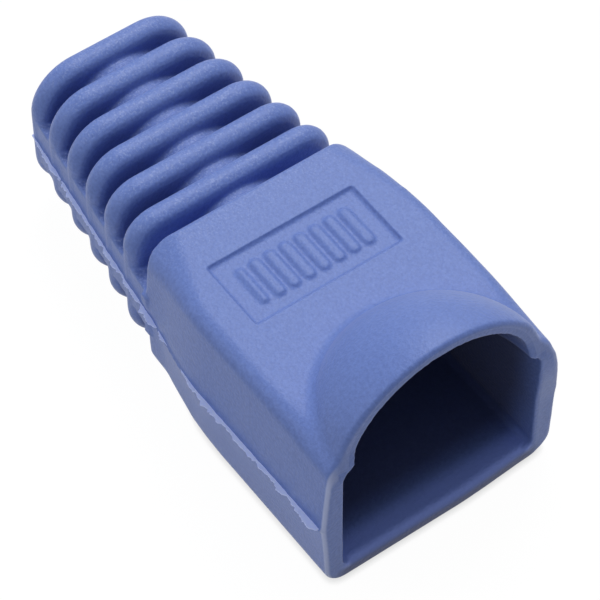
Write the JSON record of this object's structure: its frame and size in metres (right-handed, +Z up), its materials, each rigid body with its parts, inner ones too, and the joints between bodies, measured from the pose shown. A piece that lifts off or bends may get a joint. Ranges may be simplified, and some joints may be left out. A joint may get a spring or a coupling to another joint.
{
  "type": "rj45 strain relief boot",
  "caption": "Slip-on strain relief boot for a modular network plug: a box sleeve with a domed latch hood, and a ribbed tapering tail that the cable passes through.",
  "frame": {"origin": "middle of the outer box on the base plane, under the middle of the length", "axes": "+X along the cable and out of the plug mouth, +Y across the width, +Z up from the base towards the latch hood"},
  "size_m": [0.0292, 0.0146, 0.0142],
  "materials": {
    "boot": "matte"
  },
  "bodies": {
    "root": {"strain_relief_boot": "boot"}
  },
  "joints": []
}
